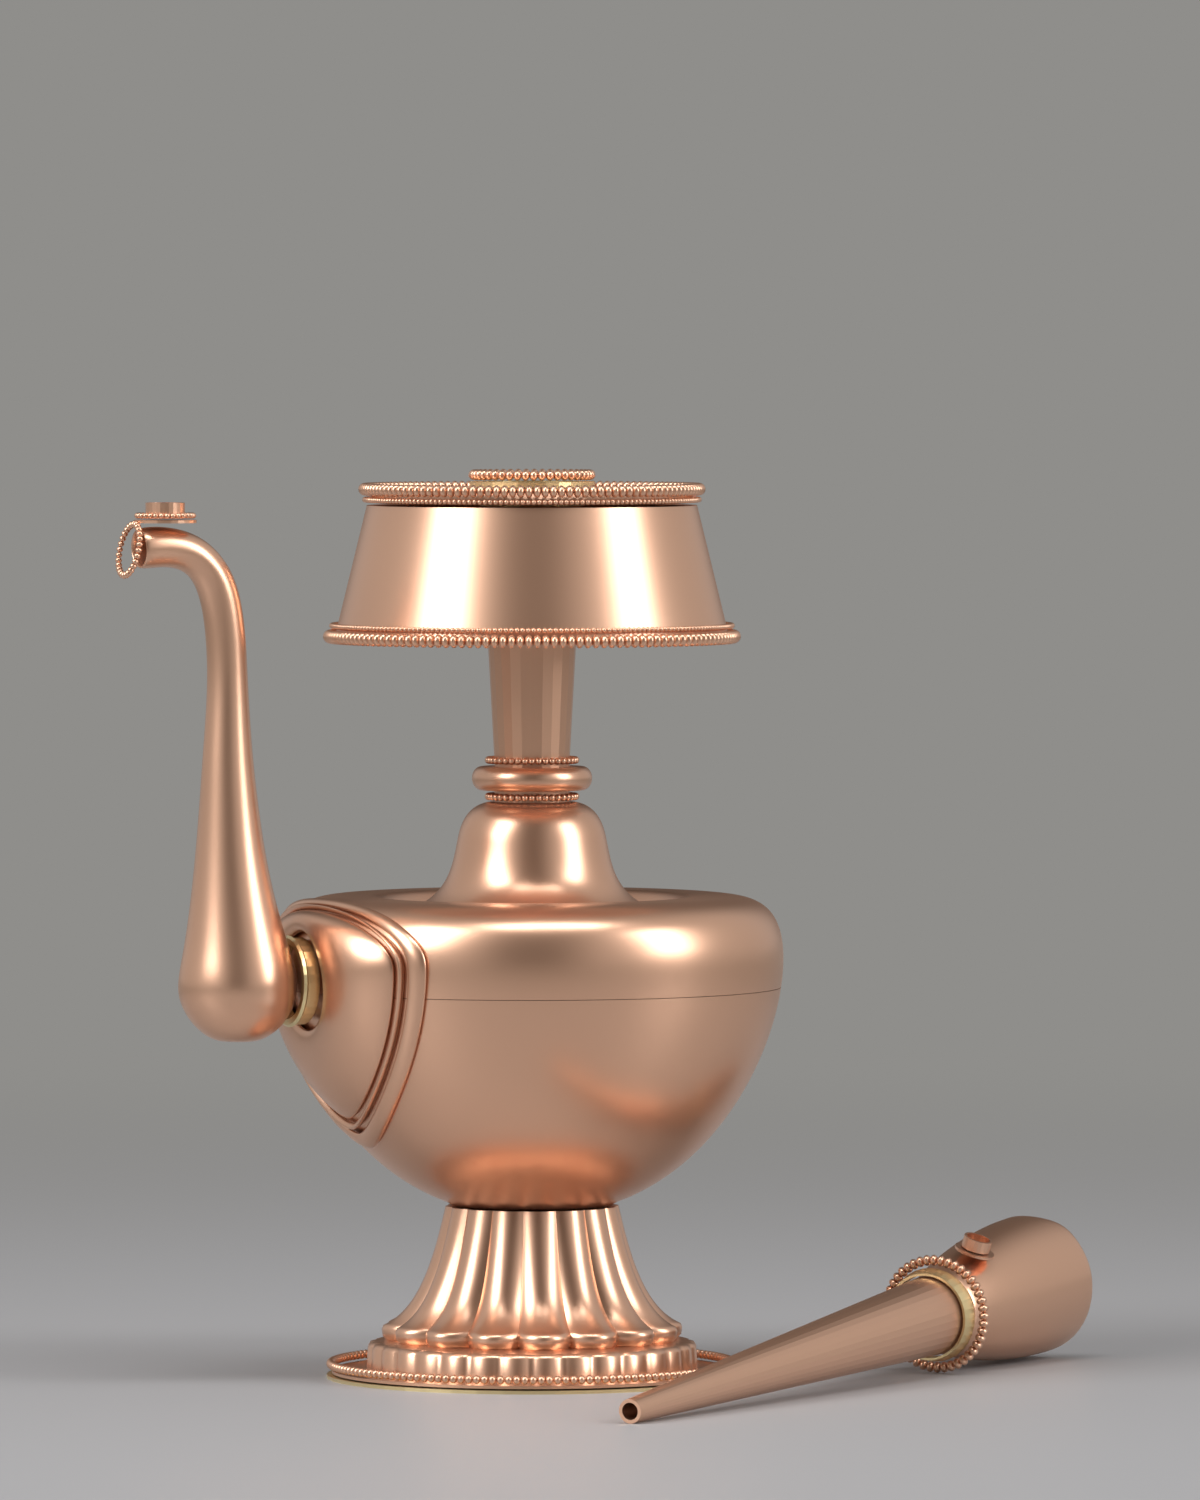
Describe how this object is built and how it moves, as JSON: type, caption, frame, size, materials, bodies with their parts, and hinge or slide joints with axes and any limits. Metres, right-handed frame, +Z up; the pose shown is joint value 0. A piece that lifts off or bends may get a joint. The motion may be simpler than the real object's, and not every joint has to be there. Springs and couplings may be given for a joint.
{
  "type": "ritual ewer",
  "caption": "Raised copper ritual ewer with lotus foot, shielded spout, dished neck and a loose tubular feather holder lying beside it",
  "frame": {"origin": "centre of the foot plate's underside, on the surface the ewer stands on", "axes": "+Z up the ewer's axis; the spout points toward -X and a little toward -Y; the loose holder lies toward +X"},
  "size_m": [0.2023, 0.1668, 0.1871],
  "materials": {
    "copper": "polished raw copper",
    "brass": "polished brass solder"
  },
  "bodies": {
    "vase": {"foot_plate": "brass", "foot_bead_wire": "copper", "lotus_foot": "copper", "bowl": "copper", "shoulder": "copper", "neck_bell": "copper", "lower_neck_beads": "copper", "neck_ring": "copper", "upper_neck_beads": "copper", "neck_tube": "copper", "dish_floor": "copper", "dish_lower_beads": "copper", "dish_lower_fine_beads": "copper", "dish_wall": "copper", "dish_upper_fine_beads": "copper", "dish_upper_beads": "copper", "dish_top": "copper", "mouth_collar": "brass", "mouth_beads": "copper", "spout": "copper", "spout_lip_beads": "copper", "spout_bezel_plate": "copper", "spout_bezel_cup": "copper", "spout_bezel_beads": "copper", "spout_ring": "brass", "spout_shield": "copper", "spout_shield_rope": "copper", "spout_shield_band": "copper"},
    "insert": {"insert_spike": "copper", "insert_collar": "brass", "insert_beads": "copper", "insert_shell": "copper", "insert_bezel_plate": "copper", "insert_bezel_cup": "copper"}
  },
  "joints": [
    {"name": "insert_lift", "type": "slide", "parent": "vase", "child": "insert", "axis": [0, 0, 1], "range_m": [0, 0.25]}
  ]
}
